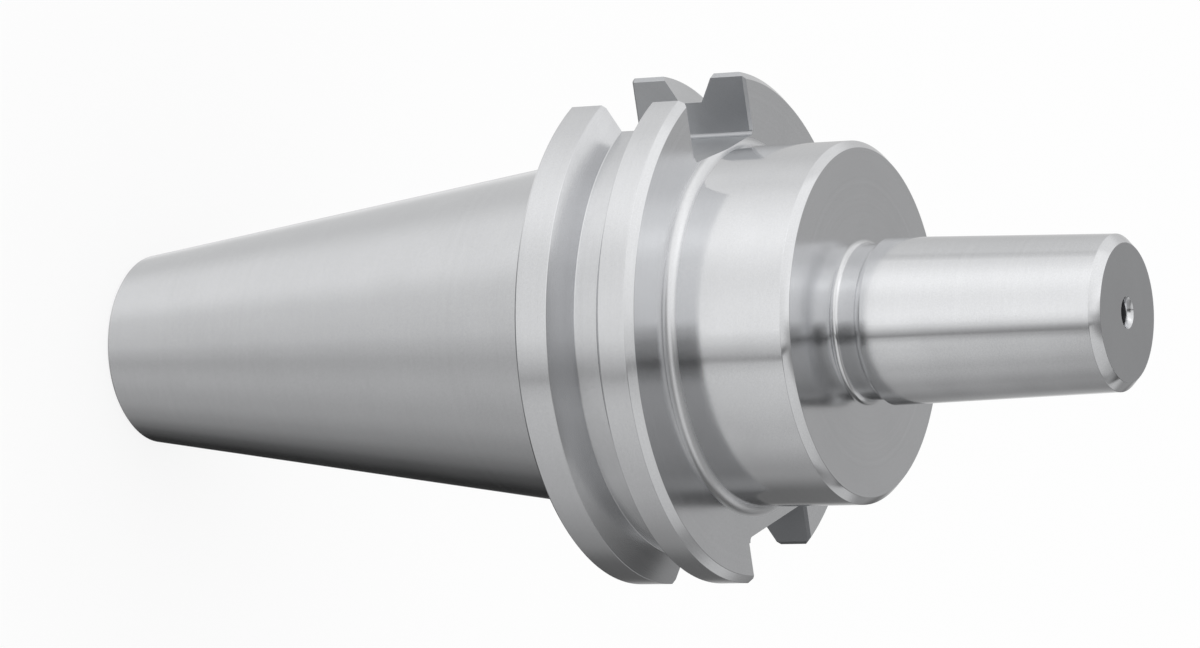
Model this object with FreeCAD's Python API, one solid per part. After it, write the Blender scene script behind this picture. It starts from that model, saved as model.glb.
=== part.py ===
import FreeCAD, Part
import math
import os

# Drill chuck arbor: one piece of hardened alloy steel, turned, milled and ground.
# A steep taper shank of size 40 carries a V flange for a tool changer and a plain boss,
# and ends in a short self-holding taper of size 3 that a drill chuck is pressed onto.
#
# All sizes are in millimetres and degrees. The axis of rotation is Z. The gauge line, where
# the steep taper has its nominal diameter, is z = 0, and the chuck nose points along +Z.
# The two drive slots lie along +X and -X.

# Steep taper shank, 7:24 on the diameter
gauge_diameter = 44.45
steep_taper_rate = 7.0 / 24.0
steep_taper_length = 68.25
small_end_chamfer = 0.4

# Relief between the taper and the flange, which clears the corner of the spindle nose
relief_depth = 0.7
relief_corner_bevel = 0.8

# V flange
flange_diameter = 63.5
flange_back = 3.175
flange_thickness = 15.875
flange_back_chamfer = 0.3
flange_front_chamfer = 0.9

# Gripper groove round the flange
groove_centre = 11.11
groove_width = 7.05
groove_depth = 3.47
groove_angle = 60.0
groove_root_radius = 0.2

# Drive slots across the flange; the shallow one has its floor further from the axis
slot_width = 16.3
slot_floor_deep = 22.6
slot_floor_shallow = 24.9
slot_corner_radius = 0.6
slot_mouth_chamfer = 0.6
slot_face_chamfer = 0.35

# Boss in front of the flange
boss_diameter = 44.7
boss_root_radius = 1.2
boss_chamfer = 0.88

# Chuck nose: the projection runs from the gauge line to the large end of the chuck taper
projection = 38.1
chuck_large_diameter = 20.599
chuck_taper_rate = 0.05324
chuck_nose_length = 31.3
nose_chamfer = 1.1

# Neck behind the chuck taper, where the grinding wheel runs out
neck_gap = 3.1
neck_diameter = 19.16
neck_root_radius = 0.75
neck_lead_length = 1.05
neck_lead_start = 0.3

# Pull stud hole in the small end: pilot bore, tapped hole and drill point
pilot_diameter = 16.3
pilot_depth = 5.0
pilot_chamfer = 0.8
thread_minor_diameter = 13.5
thread_lead_chamfer = 1.2
thread_depth = 34.0
drill_point_angle = 118.0

# Centre hole in the nose
centre_mouth_diameter = 3.9
centre_mouth_angle = 60.0
centre_pilot_diameter = 3.0
centre_pilot_depth = 7.0

# Length by which a cutter overshoots the metal it removes, and the gap below which two
# heights count as the same
overshoot = 1.0
coincidence = 0.001

# Sizes worked out from those above
gauge_radius = gauge_diameter / 2
small_end = -steep_taper_length
small_end_radius = gauge_radius - steep_taper_length * steep_taper_rate / 2
flange_radius = flange_diameter / 2
flange_front = flange_back + flange_thickness
boss_radius = boss_diameter / 2
boss_face = projection - neck_gap
nose_end = projection + chuck_nose_length


def steep_radius(z):
    """Radius of the steep taper at height z."""
    return gauge_radius + z * steep_taper_rate / 2


def chuck_radius(z):
    """Radius of the chuck taper at height z."""
    return chuck_large_diameter / 2 - (z - projection) * chuck_taper_rate / 2


def turned(corners):
    """Solid of revolution about Z from corners (radius, height) or (radius, height, corner radius)."""
    places = [FreeCAD.Vector(c[0], 0, c[1]) for c in corners]
    radii = [c[2] if len(c) > 2 else 0.0 for c in corners]
    count = len(places)
    starts = []
    ends = []
    arcs = []
    for i in range(count):
        corner = places[i]
        if radii[i] <= 0:
            starts.append(corner)
            ends.append(corner)
            arcs.append(None)
            continue
        back = (places[i - 1] - corner).normalize()
        ahead = (places[(i + 1) % count] - corner).normalize()
        half = back.getAngle(ahead) / 2
        setback = radii[i] / math.tan(half)
        middle = (back + ahead).normalize()
        first = corner + back * setback
        last = corner + ahead * setback
        crest = corner + middle * (radii[i] / math.sin(half) - radii[i])
        starts.append(first)
        ends.append(last)
        arcs.append(Part.Arc(first, crest, last).toShape())
    edges = []
    for i in range(count):
        if arcs[i]:
            edges.append(arcs[i])
        edges.append(Part.LineSegment(ends[i], starts[(i + 1) % count]).toShape())
    face = Part.Face(Part.Wire(edges))
    return face.revolve(FreeCAD.Vector(0, 0, 0), FreeCAD.Vector(0, 0, 1), 360)


def blank():
    """The turned and ground blank, from the small end of the shank to the end of the nose."""
    taper_start = small_end + small_end_chamfer
    relief_radius = gauge_radius - relief_depth
    root_radius = flange_radius - groove_depth
    groove_back = groove_centre - groove_width / 2
    groove_front = groove_centre + groove_width / 2
    flank = groove_depth * math.tan(math.radians(groove_angle / 2))
    neck_radius = neck_diameter / 2
    neck_end = projection - neck_lead_start
    chuck_start = neck_end + neck_lead_length
    chuck_end = nose_end - nose_chamfer
    return turned([
        (0, small_end),
        (steep_radius(taper_start) - small_end_chamfer, small_end),
        (steep_radius(taper_start), taper_start),
        (gauge_radius, 0),
        (relief_radius, relief_depth),
        (relief_radius, flange_back - relief_corner_bevel),
        (relief_radius + relief_corner_bevel, flange_back),
        (flange_radius - flange_back_chamfer, flange_back),
        (flange_radius, flange_back + flange_back_chamfer),
        (flange_radius, groove_back),
        (root_radius, groove_back + flank, groove_root_radius),
        (root_radius, groove_front - flank, groove_root_radius),
        (flange_radius, groove_front),
        (flange_radius, flange_front - flange_front_chamfer),
        (flange_radius - flange_front_chamfer, flange_front),
        (boss_radius, flange_front, boss_root_radius),
        (boss_radius, boss_face - boss_chamfer),
        (boss_radius - boss_chamfer, boss_face),
        (neck_radius, boss_face, neck_root_radius),
        (neck_radius, neck_end),
        (chuck_radius(chuck_start), chuck_start),
        (chuck_radius(chuck_end), chuck_end),
        (chuck_radius(chuck_end) - nose_chamfer, nose_end),
        (0, nose_end),
    ])


def prism(corners, place, length):
    """Straight prism: corners in the plane of place's X and Y, drawn out along its Z."""
    wire = Part.makePolygon([FreeCAD.Vector(x, y, 0) for x, y in corners + corners[:1]])
    solid = Part.Face(wire).extrude(FreeCAD.Vector(0, 0, length))
    solid.Placement = place
    return solid


def drive_slot(floor, azimuth):
    """Cutter for one drive slot: a keyway through the flange with broken edges."""
    half = slot_width / 2
    back = flange_back - overshoot
    front = flange_front + boss_root_radius + overshoot
    top = flange_radius + overshoot
    keyway = Part.makeBox(
        top - floor, slot_width, front - back, FreeCAD.Vector(floor, -half, back)
    )
    # The box's edges that run along Z at its floor, where the side cutter's corner is rounded
    middle = (back + front) / 2
    floor_edges = []
    for edge in keyway.Edges:
        centre = edge.CenterOfMass
        if abs(centre.z - middle) < coincidence and abs(centre.x - floor) < coincidence:
            floor_edges.append(edge)
    keyway = keyway.makeFillet(slot_corner_radius, floor_edges)
    # The wall meets the outside diameter here, and a 45 degree flare breaks that edge.
    rim = math.sqrt(flange_radius ** 2 - half ** 2)
    flare_root = rim - slot_mouth_chamfer
    flare = top - flare_root
    mouth = prism(
        [(flare_root, -half), (top, -half - flare), (top, half + flare), (flare_root, half)],
        FreeCAD.Placement(FreeCAD.Vector(0, 0, back), FreeCAD.Rotation()),
        front - back,
    )
    cutters = [keyway, mouth]
    # The same at the back and front faces, with the prism drawn out along the slot's depth.
    y_axis = FreeCAD.Vector(0, 1, 0)
    z_axis = FreeCAD.Vector(0, 0, 1)
    x_axis = FreeCAD.Vector(1, 0, 0)
    outward_x = FreeCAD.Rotation(y_axis, z_axis, x_axis, "ZXY")
    root = floor + slot_corner_radius
    for face, outward in ((flange_back, -1), (flange_front, 1)):
        inner = face - outward * slot_face_chamfer
        outer = face + outward * slot_face_chamfer
        wide = half + 2 * slot_face_chamfer
        cutters.append(prism(
            [(-half, inner), (half, inner), (wide, outer), (-wide, outer)],
            FreeCAD.Placement(FreeCAD.Vector(root, 0, 0), outward_x),
            top - root,
        ))
    slot = cutters[0].fuse(cutters[1:])
    slot.rotate(FreeCAD.Vector(0, 0, 0), FreeCAD.Vector(0, 0, 1), azimuth)
    return slot


def pull_stud_hole():
    """Cutter for the tapped hole that the retention knob screws into."""
    pilot_radius = pilot_diameter / 2
    minor_radius = thread_minor_diameter / 2
    pilot_floor = small_end + pilot_depth
    thread_end = small_end + thread_depth
    point = minor_radius / math.tan(math.radians(drill_point_angle / 2))
    return turned([
        (0, small_end - overshoot),
        (pilot_radius + pilot_chamfer + overshoot, small_end - overshoot),
        (pilot_radius, small_end + pilot_chamfer),
        (pilot_radius, pilot_floor),
        (minor_radius + thread_lead_chamfer, pilot_floor),
        (minor_radius, pilot_floor + thread_lead_chamfer),
        (minor_radius, thread_end),
        (0, thread_end + point),
    ])


def centre_hole():
    """Cutter for the centre hole on which the nose was turned and ground."""
    mouth_radius = centre_mouth_diameter / 2
    pilot_radius = centre_pilot_diameter / 2
    slope = math.tan(math.radians(centre_mouth_angle / 2))
    mouth_depth = (mouth_radius - pilot_radius) / slope
    pilot_end = nose_end - centre_pilot_depth
    point = pilot_radius / math.tan(math.radians(drill_point_angle / 2))
    return turned([
        (0, pilot_end - point),
        (pilot_radius, pilot_end),
        (pilot_radius, nose_end - mouth_depth),
        (mouth_radius + overshoot * slope, nose_end + overshoot),
        (0, nose_end + overshoot),
    ])


arbor = blank().cut([
    drive_slot(slot_floor_deep, 0),
    drive_slot(slot_floor_shallow, 180),
    pull_stud_hole(),
    centre_hole(),
])

os.makedirs("parts", exist_ok=True)
arbor.exportStep("parts/arbor.step")

box = arbor.BoundBox
print("solids", len(arbor.Solids), "valid", arbor.isValid(), "volume", round(arbor.Volume, 1))
print("size", round(box.XLength, 3), round(box.YLength, 3), round(box.ZLength, 3))
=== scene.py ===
import math

import bmesh
import bpy
from mathutils import Matrix, Vector


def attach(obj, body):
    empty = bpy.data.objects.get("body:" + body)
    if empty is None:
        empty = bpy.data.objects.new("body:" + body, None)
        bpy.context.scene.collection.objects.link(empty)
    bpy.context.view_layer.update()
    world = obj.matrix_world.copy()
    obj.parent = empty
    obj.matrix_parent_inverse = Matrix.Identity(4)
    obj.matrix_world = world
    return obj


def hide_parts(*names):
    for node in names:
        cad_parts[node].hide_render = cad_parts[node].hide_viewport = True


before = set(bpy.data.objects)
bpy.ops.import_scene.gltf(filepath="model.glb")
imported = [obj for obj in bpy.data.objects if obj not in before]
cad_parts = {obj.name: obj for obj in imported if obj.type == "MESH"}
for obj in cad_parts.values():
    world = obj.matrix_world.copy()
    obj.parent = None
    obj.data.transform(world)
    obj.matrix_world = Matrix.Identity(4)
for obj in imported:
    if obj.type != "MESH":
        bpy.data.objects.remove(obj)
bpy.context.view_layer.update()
scene = bpy.context.scene
MM = 0.001


# The camera: a long lens that looks at the arbor from the nose side, rolled so that the
# arbor's axis, which stands upright on the floor, lies level across the picture.
camera_place = Vector((0.131476, 0.557100, 0.304122))
picture_right = Vector((-0.1447280, -0.4501229, 0.8811602))
picture_up = Vector((0.9688470, -0.2453424, 0.0338021))
sensor_width = 36.0
lens_length = 154.663
camera_data = bpy.data.cameras.new("long_lens")
camera_data.sensor_width = sensor_width
camera_data.lens = lens_length
camera_data.clip_start = 0.01
camera_data.clip_end = 20.0
camera = bpy.data.objects.new("long_lens", camera_data)
towards_camera = picture_right.cross(picture_up)
turn = Matrix((picture_right, picture_up, towards_camera)).transposed()
camera.matrix_world = Matrix.Translation(camera_place) @ turn.to_4x4()
scene.collection.objects.link(camera)
scene.camera = camera


# The steel: one hardened alloy bar, so every finish below is the same metal with another lay
# left by the tool. Turning and cylindrical grinding leave fine rings round the axis, which
# spread a highlight along the axis much more than round it.
def fill(tree, node, values):
    """Fills a node's first inputs in turn: a number is set on the socket, an output is linked."""
    for socket, value in zip(node.inputs, values):
        if isinstance(value, (int, float)):
            socket.default_value = value
        else:
            tree.links.new(value, socket)


def maths(tree, operation, label, *values):
    """Output of a new Math node."""
    node = tree.nodes.new("ShaderNodeMath")
    node.operation = operation
    node.label = label
    fill(tree, node, values)
    return node.outputs[0]


def steel_finish(name, shade, roughness, lay, pitch, relief, ring_shade, haze, grain):
    """Bare steel with tool rings round Z. Pitch, relief and grain are in millimetres."""
    radius_weight = 1.37
    broad_pitch = 9
    fine_share = 0.6
    fine_roughness = 0.6
    haze_scale = 140.0
    pit_size = 4
    pit_shade = 0.14
    haze_roughness = 0.10
    ring_roughness = 0.08
    grain_relief = 0.35
    quarter_turn = 0.25
    finish = bpy.data.materials.new(name)
    finish.use_nodes = True
    tree = finish.node_tree
    links = tree.links
    tree.nodes.clear()

    def node(kind, label, **settings):
        made = tree.nodes.new(kind)
        made.label = label
        for key, value in settings.items():
            setattr(made, key, value)
        return made

    def noise(label, dimensions, coordinate, scale, detail):
        made = node("ShaderNodeTexNoise", label, noise_dimensions=dimensions)
        made.inputs["Scale"].default_value = scale
        made.inputs["Detail"].default_value = detail
        links.new(coordinate, made.inputs["W" if dimensions == "1D" else "Vector"])
        return made

    # The rings are even along a barrel, where only the height changes, and across an end
    # face, where only the distance from the axis does.
    place = node("ShaderNodeTexCoord", "place on the arbor").outputs["Object"]
    parts = node("ShaderNodeSeparateXYZ", "x, y, z")
    links.new(place, parts.inputs[0])
    x, y, z = parts.outputs
    squares = maths(tree, "ADD", "x2 + y2", maths(tree, "MULTIPLY", "x2", x, x),
                    maths(tree, "MULTIPLY", "y2", y, y))
    radius = maths(tree, "SQRT", "radius", squares)
    across = maths(tree, "MULTIPLY_ADD", "distance across the rings", radius, radius_weight, z)
    fine_count = maths(tree, "DIVIDE", "ring count", across, pitch * MM)
    broad_count = maths(tree, "DIVIDE", "broad ring count", across, pitch * MM * broad_pitch)

    fine = noise("tool rings", "1D", fine_count, 1.0, 2.0)
    fine.inputs["Roughness"].default_value = fine_roughness
    broad = noise("broad rings", "1D", broad_count, 1.0, 3.0)
    clouds = noise("handling haze", "3D", place, haze_scale, 4.0)
    speck = noise("grain", "3D", place, 1 / (grain * MM), 1.0)
    pits = noise("fine pits", "3D", place, 1 / (pit_size * grain * MM), 2.0)

    # Every tone swings evenly round 1, so that the shade stays the finish's mean colour.
    rings = maths(tree, "ADD", "rings",
                  maths(tree, "MULTIPLY", "fine", fine.outputs[0], fine_share),
                  maths(tree, "MULTIPLY", "broad", broad.outputs[0], 1 - fine_share))
    ring_tone = maths(tree, "MULTIPLY_ADD", "ring tone", rings, ring_shade, 1 - ring_shade / 2)
    haze_tone = maths(tree, "MULTIPLY_ADD", "haze tone", clouds.outputs[0], -haze, 1 + haze / 2)
    pit_tone = maths(tree, "MULTIPLY_ADD", "pit tone", pits.outputs[0], pit_shade,
                     1 - pit_shade / 2)
    tone = maths(tree, "MULTIPLY", "tone", ring_tone,
                 maths(tree, "MULTIPLY", "haze and pits", haze_tone, pit_tone))
    grey = node("ShaderNodeCombineColor", "tone as grey")
    fill(tree, grey, (tone, tone, tone))
    colour = node("ShaderNodeMix", "steel", data_type="RGBA", blend_type="MULTIPLY")
    colour.inputs["Factor"].default_value = 1.0
    colour.inputs["A"].default_value = (*shade, 1.0)
    links.new(grey.outputs[0], colour.inputs["B"])

    hazy = maths(tree, "MULTIPLY_ADD", "hazy roughness", clouds.outputs[0], haze_roughness,
                 roughness - haze_roughness / 2)
    centred = maths(tree, "SUBTRACT", "less half the rings", hazy, ring_roughness / 2)
    rough = maths(tree, "MULTIPLY_ADD", "ring roughness", rings, ring_roughness, centred)

    height = maths(tree, "ADD", "height", rings,
                   maths(tree, "MULTIPLY", "grain height", speck.outputs[0], grain_relief))
    bump = node("ShaderNodeBump", "ring relief")
    bump.inputs["Strength"].default_value = 1.0
    bump.inputs["Distance"].default_value = relief * MM
    links.new(height, bump.inputs["Height"])
    tangent = node("ShaderNodeTangent", "round the axis", direction_type="RADIAL", axis="Z")

    shader = node("ShaderNodeBsdfPrincipled", "steel")
    shader.inputs["Metallic"].default_value = 1.0
    shader.inputs["Anisotropic"].default_value = lay
    shader.inputs["Anisotropic Rotation"].default_value = quarter_turn
    links.new(colour.outputs["Result"], shader.inputs["Base Color"])
    links.new(rough, shader.inputs["Roughness"])
    links.new(bump.outputs[0], shader.inputs["Normal"])
    links.new(tangent.outputs[0], shader.inputs["Tangent"])
    out = node("ShaderNodeOutputMaterial", "out")
    links.new(shader.outputs[0], out.inputs[0])
    return finish


# Each row holds the shade, the roughness and the lay, which is the anisotropy; then the rings'
# pitch, relief and shade; and then the haze and the size of the grain.
steel_shade = (0.695, 0.701, 0.714)
finish_rows = {
    "ground_shank": (steel_shade, 0.20, 0.5, 0.12, 0.0007, 0.08, 0.07, 0.05),
    "turned_rim": (steel_shade, 0.15, 0.5, 0.10, 0.0011, 0.10, 0.06, 0.05),
    # Painted shade: the groove's colour is darker than the steel's, for the shade inside the
    # groove.
    "turned_groove_painted_shade": ((0.645, 0.651, 0.664), 0.22, 0.4, 0.09, 0.0020, 0.16, 0.18, 0.05),
    "turned_boss": (steel_shade, 0.12, 0.5, 0.10, 0.0007, 0.07, 0.06, 0.05),
    # The fillet's rougher lay is real; its lighter colour is in part a painted highlight.
    "turned_fillet_painted_highlight": ((0.740, 0.746, 0.758), 0.32, 0.3, 0.10, 0.0010, 0.10, 0.08, 0.05),
    "faced_boss": ((0.668, 0.674, 0.686), 0.18, 0.6, 0.09, 0.0014, 0.14, 0.08, 0.05),
    "faced_flange": (steel_shade, 0.18, 0.6, 0.09, 0.0015, 0.12, 0.08, 0.05),
    "ground_nose": (steel_shade, 0.13, 0.5, 0.10, 0.0007, 0.09, 0.06, 0.05),
    "sawn_end": ((0.500, 0.505, 0.515), 0.50, 0.0, 0.10, 0.0015, 0.06, 0.10, 0.04),
    "bored_hole": ((0.515, 0.520, 0.530), 0.36, 0.4, 0.16, 0.0030, 0.12, 0.10, 0.06),
    # Painted shade: a near-black colour for the dark inside of the deep centre hole.
    "drilled_hole_painted_shade": ((0.09, 0.09, 0.095), 0.40, 0.0, 0.16, 0.0030, 0.12, 0.10, 0.06),
    "milled_slot": ((0.480, 0.490, 0.505), 0.30, 0.0, 0.20, 0.0020, 0.12, 0.14, 0.06),
    # Painted shade: a much darker colour for the shallow slot's walls, standing in for their
    # shade.
    "painted_shade_slot": ((0.220, 0.226, 0.236), 0.34, 0.0, 0.20, 0.0020, 0.12, 0.14, 0.06),
    "milled_floor": ((0.600, 0.610, 0.625), 0.32, 0.0, 0.20, 0.0020, 0.12, 0.12, 0.06),
}
finishes = {name: steel_finish(name, *row) for name, row in finish_rows.items()}


# The blank: everything on the arbor that goes round its axis, turned in a lathe and then
# ground on the two tapers. Its outline, in millimetres, runs from the bottom of the pull stud
# hole round the outside to the bottom of the centre hole.
gauge_radius = 22.225
steep_taper_rate = 7 / 24
small_end = -68.25
small_end_chamfer = 0.4
relief_depth = 0.7
relief_corner = 0.8
flange_radius = 31.75
flange_back = 3.175
flange_front = 19.05
flange_back_chamfer = 0.3
flange_front_chamfer = 0.9
groove_centre = 11.11
groove_width = 7.05
groove_root = 28.28
groove_root_corner = 0.15
groove_half_angle = 30
boss_radius = 22.35
boss_face = 35.0
boss_root_radius = 1.2
boss_chamfer = 0.88
neck_radius = 9.58
neck_root_radius = 0.75
neck_end = 37.8
projection = 38.1
chuck_radius_at_projection = 10.2995
chuck_taper_rate = 0.05324
chuck_start = 38.85
nose_end = 69.4
nose_chamfer = 1.1
pilot_radius = 8.15
pilot_depth = 5.0
pilot_chamfer = 0.8
thread_minor_radius = 6.75
thread_depth = 34.0
thread_lead = 1.2
drill_tip = -30.194
centre_mouth_radius = 1.95
centre_mouth_floor = 68.621
centre_radius = 1.5
centre_floor = 62.4
centre_tip = 61.499
edge = 0.10
fine_edge = 0.05


def steep_radius(height):
    return gauge_radius + height * steep_taper_rate / 2


def chuck_radius(height):
    return chuck_radius_at_projection - (height - projection) * chuck_taper_rate / 2


shank_start = small_end + small_end_chamfer
pilot_floor = small_end + pilot_depth
relief_radius = gauge_radius - relief_depth
groove_back = groove_centre - groove_width / 2
groove_front = groove_centre + groove_width / 2
flank = (flange_radius - groove_root) * math.tan(math.radians(groove_half_angle))
chuck_end = nose_end - nose_chamfer
# Each row is radius, height, corner radius and the finish of the surface that comes after it.
outline = [
    (0.0, drill_tip, 0.0, "bored_hole"),
    (thread_minor_radius, small_end + thread_depth, 0.0, "bored_hole"),
    (thread_minor_radius, pilot_floor + thread_lead, 0.0, "bored_hole"),
    (thread_minor_radius + thread_lead, pilot_floor, 0.0, "bored_hole"),
    (pilot_radius, pilot_floor, 0.0, "bored_hole"),
    (pilot_radius, small_end + pilot_chamfer, fine_edge, "bored_hole"),
    (pilot_radius + pilot_chamfer, small_end, fine_edge, "faced_boss"),
    (steep_radius(shank_start) - small_end_chamfer, small_end, edge, "turned_rim"),
    (steep_radius(shank_start), shank_start, edge, "ground_shank"),
    (gauge_radius, 0.0, edge, "turned_rim"),
    (relief_radius, relief_depth, fine_edge, "turned_rim"),
    (relief_radius, flange_back, relief_corner, "turned_rim"),
    (flange_radius - flange_back_chamfer, flange_back, edge, "turned_rim"),
    (flange_radius, flange_back + flange_back_chamfer, edge, "turned_rim"),
    # The groove's faces carry that painted shade.
    (flange_radius, groove_back, edge, "turned_groove_painted_shade"),
    (groove_root, groove_back + flank, groove_root_corner, "turned_groove_painted_shade"),
    (groove_root, groove_front - flank, groove_root_corner, "turned_groove_painted_shade"),
    (flange_radius, groove_front, edge, "turned_rim"),
    (flange_radius, flange_front - flange_front_chamfer, edge, "turned_rim"),
    (flange_radius - flange_front_chamfer, flange_front, edge, "faced_flange"),
    (boss_radius, flange_front, boss_root_radius, "turned_boss"),
    (boss_radius, boss_face - boss_chamfer, edge, "turned_boss"),
    (boss_radius - boss_chamfer, boss_face, edge, "faced_boss"),
    (neck_radius, boss_face, neck_root_radius, "ground_nose"),
    (neck_radius, neck_end, fine_edge, "ground_nose"),
    (chuck_radius(chuck_start), chuck_start, fine_edge, "ground_nose"),
    (chuck_radius(chuck_end), chuck_end, edge, "ground_nose"),
    (chuck_radius(chuck_end) - nose_chamfer, nose_end, edge, "sawn_end"),
    (centre_mouth_radius, nose_end, fine_edge, "turned_rim"),
    # The centre hole's bore and its floor cone carry painted shade, a near-black colour.
    (centre_radius, centre_mouth_floor, 0.0, "drilled_hole_painted_shade"),
    (centre_radius, centre_floor, 0.0, "drilled_hole_painted_shade"),
    (0.0, centre_tip, 0.0, "drilled_hole_painted_shade"),
]


def join(tree, rows):
    """Links nodes: each row is a node, its output, the node that follows and its input."""
    for source, output, target, entry in rows:
        tree.links.new(source.outputs[output], target.inputs[entry])


def new_tree(name, start, result, sizes):
    """A tree that will make a result from a start mesh, and the node with what it is given."""
    tree = bpy.data.node_groups.new(name, "GeometryNodeTree")
    tree.is_modifier = True
    plugs = tree.interface
    plugs.new_socket(start, in_out="INPUT", socket_type="NodeSocketGeometry")
    for size, kind in sizes.items():
        plugs.new_socket(size, in_out="INPUT", socket_type="NodeSocket" + kind)
    plugs.new_socket("Finish", in_out="INPUT", socket_type="NodeSocketMaterial")
    plugs.new_socket(result, in_out="OUTPUT", socket_type="NodeSocketGeometry")
    return tree, tree.nodes.new("NodeGroupInput")


def end_tree(tree, last, given, result):
    """Realizes what the last node makes and gives it its finish."""
    realize = tree.nodes.new("GeometryNodeRealizeInstances")
    finish = tree.nodes.new("GeometryNodeSetMaterial")
    made = tree.nodes.new("NodeGroupOutput")
    join(tree, [
        (last, "Geometry", realize, "Geometry"),
        (realize, "Geometry", finish, "Geometry"),
        (given, "Finish", finish, "Material"),
        (finish, "Geometry", made, result),
    ])
    return tree


def turning_tree():
    """Rounds the corners of an outline in the XY plane and turns it about Z."""
    tree, given = new_tree("turned_blank", "Outline", "Blank", {
        "Facets": "Int", "Swing Radius": "Float", "Merge Distance": "Float"})
    nodes = tree.nodes
    to_curve = nodes.new("GeometryNodeMeshToCurve")
    rounding = nodes.new("GeometryNodeFilletCurve")
    rounding.mode = "POLY"
    rounding.inputs["Limit Radius"].default_value = True
    for name, kind, target in (
        ("corner_radius", "FLOAT", "Radius"), ("corner_steps", "INT", "Count"),
    ):
        read = nodes.new("GeometryNodeInputNamedAttribute")
        read.data_type = kind
        read.inputs["Name"].default_value = name
        join(tree, [(read, "Attribute", rounding, target)])
    swing = nodes.new("GeometryNodeCurvePrimitiveCircle")
    sweep = nodes.new("GeometryNodeCurveToMesh")
    merge = nodes.new("GeometryNodeMergeByDistance")
    join(tree, [
        (given, "Outline", to_curve, "Mesh"),
        (to_curve, "Curve", rounding, "Curve"),
        (given, "Facets", swing, "Resolution"),
        (given, "Swing Radius", swing, "Radius"),
        (swing, "Curve", sweep, "Curve"),
        (rounding, "Curve", sweep, "Profile Curve"),
        (sweep, "Mesh", merge, "Geometry"),
        (given, "Merge Distance", merge, "Distance"),
    ])
    return end_tree(tree, merge, given, "Blank")


def worked_mesh(piece):
    """A new plain mesh of a piece with its modifiers worked in."""
    held = piece.evaluated_get(bpy.context.evaluated_depsgraph_get())
    return bpy.data.meshes.new_from_object(held)


def face_outwards(mesh, weld=0.0):
    """Turns all faces of a closed mesh outwards, once points nearer than weld are merged."""
    work = bmesh.new()
    work.from_mesh(mesh)
    if weld > 0:
        bmesh.ops.remove_doubles(work, verts=work.verts, dist=weld)
    bmesh.ops.recalc_face_normals(work, faces=work.faces)
    work.to_mesh(mesh)
    work.free()


def grown(name, start, tree, **sizes):
    """A plain mesh of what a tree makes from the start mesh, with faces pointing outwards."""
    carrier = bpy.data.objects.new(name + "_carrier", start)
    scene.collection.objects.link(carrier)
    grower = carrier.modifiers.new(name, "NODES")
    grower.node_group = tree
    sockets = {item.name: item.identifier for item in tree.interface.items_tree
               if item.in_out == "INPUT"}
    for size, value in sizes.items():
        grower[sockets[size.replace("_", " ")]] = value
    mesh = worked_mesh(carrier)
    mesh.name = name
    bpy.data.objects.remove(carrier)
    face_outwards(mesh)
    return mesh


# The outline is swept along a circle of this radius, so it is drawn as seen from that circle.
swing_radius = 20.0
edge_steps = 4
fillet_steps = 9
smallest_fillet = 0.4
outline_mesh = bpy.data.meshes.new("outline")
outline_mesh.from_pydata(
    [((radius - swing_radius) * MM, -height * MM, 0.0) for radius, height, *rest in outline],
    [(i, i + 1) for i in range(len(outline) - 1)],
    [],
)
corner_radius = outline_mesh.attributes.new("corner_radius", "FLOAT", "POINT")
corner_steps = outline_mesh.attributes.new("corner_steps", "INT", "POINT")
for i, (radius, height, corner, finish) in enumerate(outline):
    steps = edge_steps if corner < smallest_fillet else fillet_steps
    corner_radius.data[i].value = corner * MM
    corner_steps.data[i].value = 1 if corner == 0 else steps
blank_mesh = grown(
    "blank", outline_mesh, turning_tree(), Facets=384, Swing_Radius=swing_radius * MM,
    Merge_Distance=0.0005 * MM, Finish=finishes["turned_rim"],
)

blank_mesh.materials.clear()
for finish in finishes.values():
    blank_mesh.materials.append(finish)
finish_index = {name: i for i, name in enumerate(finishes)}


def nearest_run(radius, height):
    """Index of the run of the outline that a surface point lies on."""
    best, found = math.inf, 0
    for i in range(len(outline) - 1):
        start = Vector(outline[i][:2])
        run = Vector(outline[i + 1][:2]) - start
        spot = Vector((radius, height)) - start
        along = min(1.0, max(0.0, spot.dot(run) / run.length_squared))
        gap = (spot - run * along).length
        if gap < best:
            best, found = gap, i
    return found


def finish_at(radius, height):
    """Name of the finish of a surface point. The boss's root fillet has one of its own."""
    clear = 0.002
    out, up = radius - boss_radius, height - flange_front
    # A spot on the fillet is clear of the boss and of the flange's face, if only just.
    if clear < out < boss_root_radius and clear < up < boss_root_radius:
        # The fillet's finish has a lighter colour, which is in part a painted highlight.
        return "turned_fillet_painted_highlight"
    return outline[nearest_run(radius, height)][3]


# A turned face repeats all round the axis, so each radius and height is looked up once.
known_finishes = {}
for polygon in blank_mesh.polygons:
    spot = (round(polygon.center.xy.length / MM, 3), round(polygon.center.z / MM, 3))
    if spot not in known_finishes:
        known_finishes[spot] = finish_index[finish_at(*spot)]
    polygon.material_index = known_finishes[spot]
arbor = bpy.data.objects.new("steel_arbor", blank_mesh)
scene.collection.objects.link(arbor)


# The two drive slots: keyways side-milled across the flange, with floors at different depths
# and every edge broken. Each cutter is a stack of equal sections, wider at the flange faces.
# The shallow slot's walls are painted much darker: painted shade for the shade in that slot.
slot_half_width = 8.15
deep_floor = 22.6
shallow_floor = 24.9
slot_corner = 0.6
slot_corner_steps = 6
slot_mouth_break = 0.6
slot_face_break = 0.35
overshoot = 1.0
hair = 0.001
slot_reach = flange_radius + overshoot


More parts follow.
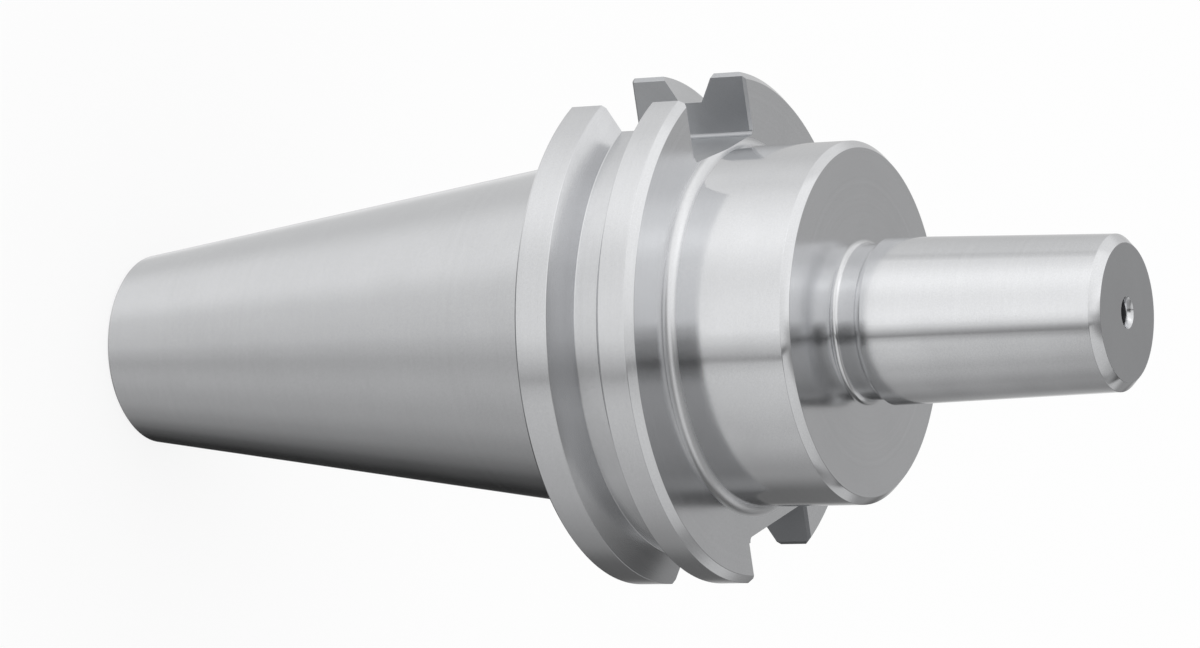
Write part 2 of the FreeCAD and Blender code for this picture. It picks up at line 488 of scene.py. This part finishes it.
def slot_section(floor, wide, height):
    """Half-width wide at the walls; the points run from one mouth corner to the other."""
    root = floor + slot_corner
    mouth = math.sqrt(flange_radius ** 2 - slot_half_width ** 2) - slot_mouth_break
    side = [(slot_reach, wide + slot_reach - mouth), (mouth, wide), (root, wide)]
    for step in range(slot_corner_steps + 1):
        turned = math.radians(90 * step / slot_corner_steps)
        side.append((root - slot_corner * math.sin(turned),
                     slot_half_width - slot_corner * (1 - math.cos(turned))))
    points = side + [(x, -y) for x, y in reversed(side)]
    return [(x * MM, y * MM, height * MM) for x, y in points]


def slot_cutter(name, floor, azimuth, wall_finish):
    """Cutter for one slot. A hair keeps its last sections apart from the broken edge."""
    floor_facing = 0.9
    broken = slot_half_width + 2 * slot_face_break
    levels = [
        (broken, flange_back - slot_face_break),
        (slot_half_width, flange_back + slot_face_break),
        (slot_half_width, flange_front - slot_face_break),
        (broken, flange_front + slot_face_break),
        (slot_half_width + hair, flange_front + slot_face_break + hair),
        (slot_half_width + hair, flange_front + boss_root_radius + overshoot),
    ]
    sections = [slot_section(floor, wide, height) for wide, height in levels]
    count = len(sections[0])
    points = [point for section in sections for point in section]
    faces = [list(range(count)), list(range(len(points) - count, len(points)))]
    for level in range(len(sections) - 1):
        for i in range(count):
            j = (i + 1) % count
            lower, upper = level * count, (level + 1) * count
            faces.append([lower + i, lower + j, upper + j, upper + i])
    mesh = bpy.data.meshes.new(name)
    mesh.from_pydata(points, [], faces)
    mesh.materials.append(finishes[wall_finish])
    mesh.materials.append(finishes["milled_floor"])
    for polygon in mesh.polygons:
        polygon.material_index = 1 if abs(polygon.normal.x) > floor_facing else 0
    mesh.transform(Matrix.Rotation(math.radians(azimuth), 4, "Z"))
    face_outwards(mesh, weld=0.0001 * MM)
    cutter = bpy.data.objects.new(name, mesh)
    scene.collection.objects.link(cutter)
    return cutter


# The pull stud's thread: 5/8 inch, 11 turns to the inch, right-hand, cut by a tap into the
# bored hole. The cutter is the tap's tooth section swept up a helix; it runs out at the top.
thread_pitch = 25.4 / 11
thread_major_radius = 7.94
thread_foot = -65.2
thread_turns = 12.5
thread_run_out = 0.95
run_out_size = 0.12
tooth_overlap = 0.3
tooth_half_angle = 30
tooth_inner = thread_minor_radius - tooth_overlap


def tapping_tree():
    """Sweeps the tooth section up a helix about Z that runs out at its upper end."""
    tree, given = new_tree("tap_tooth", "Tooth", "Thread", {
        "Facets": "Int", "Turns": "Float", "Radius": "Float", "Height": "Float",
        "Foot": "Float", "Run Out": "Float"})
    nodes = tree.nodes
    to_curve = nodes.new("GeometryNodeMeshToCurve")
    helix = nodes.new("GeometryNodeCurveSpiral")
    helix.inputs["Reverse"].default_value = True
    upright = nodes.new("GeometryNodeSetCurveNormal")
    upright.mode = "Z_UP"
    along = nodes.new("GeometryNodeSplineParameter")
    fade = nodes.new("ShaderNodeMapRange")
    fade.inputs["From Max"].default_value = 1.0
    fade.inputs["To Min"].default_value = 1.0
    fade.inputs["To Max"].default_value = run_out_size
    thin = nodes.new("GeometryNodeSetCurveRadius")
    sweep = nodes.new("GeometryNodeCurveToMesh")
    sweep.inputs["Fill Caps"].default_value = True
    lift = nodes.new("GeometryNodeTransform")
    foot = nodes.new("ShaderNodeCombineXYZ")
    join(tree, [
        (given, "Tooth", to_curve, "Mesh"),
        (given, "Facets", helix, "Resolution"),
        (given, "Turns", helix, "Rotations"),
        (given, "Radius", helix, "Start Radius"),
        (given, "Radius", helix, "End Radius"),
        (given, "Height", helix, "Height"),
        (helix, "Curve", upright, "Curve"),
        (upright, "Curve", thin, "Curve"),
        (along, "Factor", fade, "Value"),
        (given, "Run Out", fade, "From Min"),
        (fade, "Result", thin, "Radius"),
        (thin, "Curve", sweep, "Curve"),
        (to_curve, "Curve", sweep, "Profile Curve"),
        (sweep, "Mesh", lift, "Geometry"),
        (given, "Foot", foot, "Z"),
        (foot, "Vector", lift, "Translation"),
    ])
    return end_tree(tree, lift, given, "Thread")


tooth_reach = thread_major_radius - tooth_inner
crest = thread_pitch / 16
base = crest + tooth_reach * math.tan(math.radians(tooth_half_angle))
tooth_mesh = bpy.data.meshes.new("tooth")
tooth_mesh.from_pydata(
    [(0, -base * MM, 0), (tooth_reach * MM, -crest * MM, 0),
     (tooth_reach * MM, crest * MM, 0), (0, base * MM, 0)],
    [(0, 1), (1, 2), (2, 3), (3, 0)],
    [],
)
thread_mesh = grown(
    "thread", tooth_mesh, tapping_tree(), Facets=96, Turns=thread_turns,
    Radius=tooth_inner * MM, Height=thread_turns * thread_pitch * MM,
    Foot=thread_foot * MM, Run_Out=thread_run_out, Finish=finishes["bored_hole"],
)
tap = bpy.data.objects.new("tap", thread_mesh)
scene.collection.objects.link(tap)

cutters = [
    slot_cutter("deep_slot_cutter", deep_floor, 0, "milled_slot"),
    # The shallow slot's walls take the painted shade.
    slot_cutter("shallow_slot_cutter", shallow_floor, 180, "painted_shade_slot"),
    tap,
]
for cutter in cutters:
    cut = arbor.modifiers.new(cutter.name, "BOOLEAN")
    cut.operation = "DIFFERENCE"
    cut.solver = "EXACT"
    cut.material_mode = "TRANSFER"
    cut.object = cutter
cut_mesh = worked_mesh(arbor)
cut_mesh.name = "steel_arbor"
arbor.modifiers.clear()
arbor.data = cut_mesh
for cutter in cutters:
    bpy.data.objects.remove(cutter)
sharpest_smooth = 32
cut_mesh.shade_smooth()
cut_mesh.set_sharp_from_angle(angle=math.radians(sharpest_smooth))
settle = arbor.modifiers.new("settle", "WEIGHTED_NORMAL")
settle.keep_sharp = True
settle.weight = 50
arbor_mesh = worked_mesh(arbor)
arbor.modifiers.clear()
arbor.data = arbor_mesh
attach(arbor, "root")
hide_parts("arbor")


# The floor: a plain white board that the arbor stands on. Most of what the camera sees of it
# is its own even white, and the rest is lit, so it keeps a soft shadow of the arbor.
floor_half = 4.0
floor_gap = 0.02
board_shade = 0.97
even_share = 0.80
floor_mesh = bpy.data.meshes.new("floor")
floor_mesh.from_pydata(
    [(x * floor_half, y * floor_half, (small_end - floor_gap) * MM)
     for x, y in ((-1, -1), (1, -1), (1, 1), (-1, 1))],
    [], [(0, 1, 2, 3)],
)
floor = bpy.data.objects.new("floor", floor_mesh)
scene.collection.objects.link(floor)
floor_finish = bpy.data.materials.new("pale_board")
floor_finish.use_nodes = True
tree = floor_finish.node_tree
tree.nodes.clear()
board = tree.nodes.new("ShaderNodeBsdfDiffuse")
board.inputs["Color"].default_value = (board_shade, board_shade, board_shade, 1)
white = tree.nodes.new("ShaderNodeEmission")
path = tree.nodes.new("ShaderNodeLightPath")
seen = maths(tree, "MAXIMUM", "seen or mirrored",
             path.outputs["Is Camera Ray"], path.outputs["Is Glossy Ray"])
seen = maths(tree, "MAXIMUM", "or seen through", seen, path.outputs["Is Transmission Ray"])
share = maths(tree, "MULTIPLY", "share of even white", seen, even_share)
blend = tree.nodes.new("ShaderNodeMixShader")
fill(tree, blend, (share, board.outputs[0], white.outputs[0]))
out = tree.nodes.new("ShaderNodeOutputMaterial")
tree.links.new(blend.outputs[0], out.inputs[0])
floor_mesh.materials.append(floor_finish)
floor.visible_glossy = False
floor.visible_shadow = False


# The light tent: soft light from all round, seen only in the steel. A large soft light stands
# above the picture and a grey reflector below it, with a dark gap between them for the lens.
# The floor, which is the only matt surface, is lit by plain white from all round instead.
world = bpy.data.worlds.new("light_tent")
scene.world = world
world.use_nodes = True
tree = world.node_tree
tree.nodes.clear()

# Each ring lists azimuths in degrees, once round from seam to seam, with the strength of the
# light there. The comments say what mirrors each ring in the main view.
ring_seam = -110
# Nothing: this is straight below the arbor.
ground_ring = [(-110, 0.30), (20, 0.30), (95, 0.26), (180, 0.22), (250, 0.26)]
# The steep taper shank.
shank_ring = [(-110, 0.45), (-97, 0.75), (-86, 0.92), (-70, 0.70), (-45, 0.70), (-10, 0.90),
              (15, 0.92), (45, 0.74), (70, 0.68), (85, 0.56), (94, 0.48), (112, 0.52),
              (145, 0.42), (172, 0.30), (188, 0.19), (203, 0.08), (225, 0.02), (246, 0.03),
              (250, 0.45)]
# The flange's rims and the boss.
barrel_ring = [(-110, 0.54), (-60, 0.68), (-30, 0.87), (20, 1.23), (47, 1.02), (70, 1.09),
               (79, 1.09), (85, 0.90), (90, 0.72), (94, 0.58), (97, 0.34), (100, 0.68),
               (107, 0.76), (150, 0.60), (182, 0.38), (208, 0.16), (230, 0.15), (250, 0.54)]
# The chuck taper.
nose_ring = [(-110, 0.80), (-76, 0.63), (-45, 0.72), (-30, 0.74), (-24, 0.64), (-18, 0.74),
             (-13, 0.95), (20, 1.20), (47, 1.06), (70, 1.13), (79, 1.11), (85, 0.88),
             (90, 0.68), (94, 0.52), (97, 0.30), (100, 0.64), (107, 0.84), (120, 0.76),
             (150, 0.56), (182, 0.42), (210, 0.36), (228, 0.44), (250, 0.80)]
# The gripper groove, by way of a second reflection.
level_ring = [(-110, 0.60), (-76, 0.66), (-30, 0.85), (20, 1.20), (70, 1.10), (84, 0.80),
              (94, 0.25), (102, 0.25), (112, 0.45), (150, 0.36), (182, 0.20), (210, 0.06),
              (230, 0.06), (250, 0.50)]
# The nose chamfer.
horizon_ring = [(-110, 0.46), (-92, 0.54), (-76, 0.70), (-60, 0.92), (-30, 0.92), (0, 1.10),
                (20, 1.38), (50, 1.10), (72, 1.00), (84, 0.50), (93, 0.16), (102, 0.16),
                (112, 0.42), (150, 0.36), (182, 0.38), (198, 0.60), (212, 0.60), (223, 0.32),
                (238, 0.34), (250, 0.46)]
# The end faces and the boss's front chamfer.
face_ring = [(-110, 0.46), (-96, 0.46), (-60, 0.95), (-25, 0.92), (0, 1.20), (18, 1.48),
             (34, 1.16), (50, 1.10), (70, 1.00), (79, 0.42), (86, 0.10), (104, 0.06),
             (113, 0.32), (150, 0.27), (180, 0.22), (199, 0.36), (210, 0.10), (232, 0.06),
             (250, 0.46)]
# The groove's rear flank and the fillets.
edge_ring = [(-110, 0.44), (-96, 0.50), (-80, 0.72), (-60, 1.02), (-30, 1.12), (0, 1.14),
             (28, 1.06), (60, 0.94), (90, 0.84), (95, 0.60), (97, 0.10), (100, 0.12),
             (103, 0.72), (130, 0.76), (155, 0.70), (175, 0.64), (192, 0.50), (204, 0.22),
             (216, 0.12), (236, 0.16), (250, 0.44)]
# Steeper edges only: these two are the top of the tent.
crown_ring = [(-110, 0.30), (-76, 0.60), (-60, 1.30), (0, 1.30), (60, 1.10), (90, 0.50),
              (110, 0.26), (190, 0.20), (205, 0.12), (240, 0.06), (250, 0.20)]
zenith_ring = [(-110, 0.30), (20, 0.34), (95, 0.26), (180, 0.24), (250, 0.28)]
# Each row is the height of a direction, from -1 straight down to 1 straight up, and its ring.
rings_of_light = [
    (-0.95, ground_ring), (-0.80, shank_ring), (-0.52, shank_ring), (-0.44, barrel_ring),
    (-0.38, nose_ring), (-0.30, level_ring), (-0.16, level_ring), (0.05, horizon_ring),
    (0.34, horizon_ring), (0.39, face_ring), (0.47, face_ring), (0.56, edge_ring),
    (0.86, edge_ring), (0.93, crown_ring), (0.98, zenith_ring),
]


def ring(turned, lights):
    """Colour of one ring at a turn from 0 to 1, which is counted from the seam."""
    ramp = tree.nodes.new("ShaderNodeValToRGB")
    ramp.color_ramp.interpolation = "EASE"
    elements = ramp.color_ramp.elements
    elements.remove(elements[1])
    for i, (azimuth, strength) in enumerate(lights):
        where = (azimuth - ring_seam) / 360
        element = elements[0] if i == 0 else elements.new(where)
        element.position = where
        element.color = (strength, strength, strength, 1)
    tree.links.new(turned, ramp.inputs[0])
    return ramp.outputs[0]


direction = tree.nodes.new("ShaderNodeTexCoord")
parts = tree.nodes.new("ShaderNodeSeparateXYZ")
tree.links.new(direction.outputs["Generated"], parts.inputs[0])
height = parts.outputs["Z"]
angle = maths(tree, "ARCTAN2", "azimuth", parts.outputs["Y"], parts.outputs["X"])
# Two whole turns more keep the angle from the seam above zero, as the modulo needs it.
whole_turn = 2 * math.pi
shifted = maths(tree, "ADD", "from the seam", angle, 2 * whole_turn - math.radians(ring_seam))
turned = maths(tree, "DIVIDE", "turn",
               maths(tree, "MODULO", "within one turn", shifted, whole_turn), whole_turn)

lower, lights = rings_of_light[0]
whole = ring(turned, lights)
for upper, lights in rings_of_light[1:]:
    rise = tree.nodes.new("ShaderNodeMapRange")
    rise.interpolation_type = "SMOOTHSTEP"
    fill(tree, rise, (height, lower, upper, 0.0, 1.0))
    blend = tree.nodes.new("ShaderNodeMix")
    blend.data_type = "RGBA"
    tree.links.new(rise.outputs[0], blend.inputs["Factor"])
    tree.links.new(whole, blend.inputs["A"])
    tree.links.new(ring(turned, lights), blend.inputs["B"])
    whole = blend.outputs["Result"]
    lower = upper
tent = tree.nodes.new("ShaderNodeBackground")
tree.links.new(whole, tent.inputs["Color"])
plain = tree.nodes.new("ShaderNodeBackground")
plain.inputs["Color"].default_value = (1, 1, 1, 1)
path = tree.nodes.new("ShaderNodeLightPath")
straight = maths(tree, "MAXIMUM", "seen straight on",
                 path.outputs["Is Camera Ray"], path.outputs["Is Transmission Ray"])
unmirrored = maths(tree, "MAXIMUM", "or lighting the floor",
                   straight, path.outputs["Is Diffuse Ray"])
mixed = tree.nodes.new("ShaderNodeMixShader")
fill(tree, mixed, (unmirrored, tent.outputs[0], plain.outputs[0]))
out = tree.nodes.new("ShaderNodeOutputWorld")
tree.links.new(mixed.outputs[0], out.inputs[0])

scene.view_settings.view_transform = "Standard"
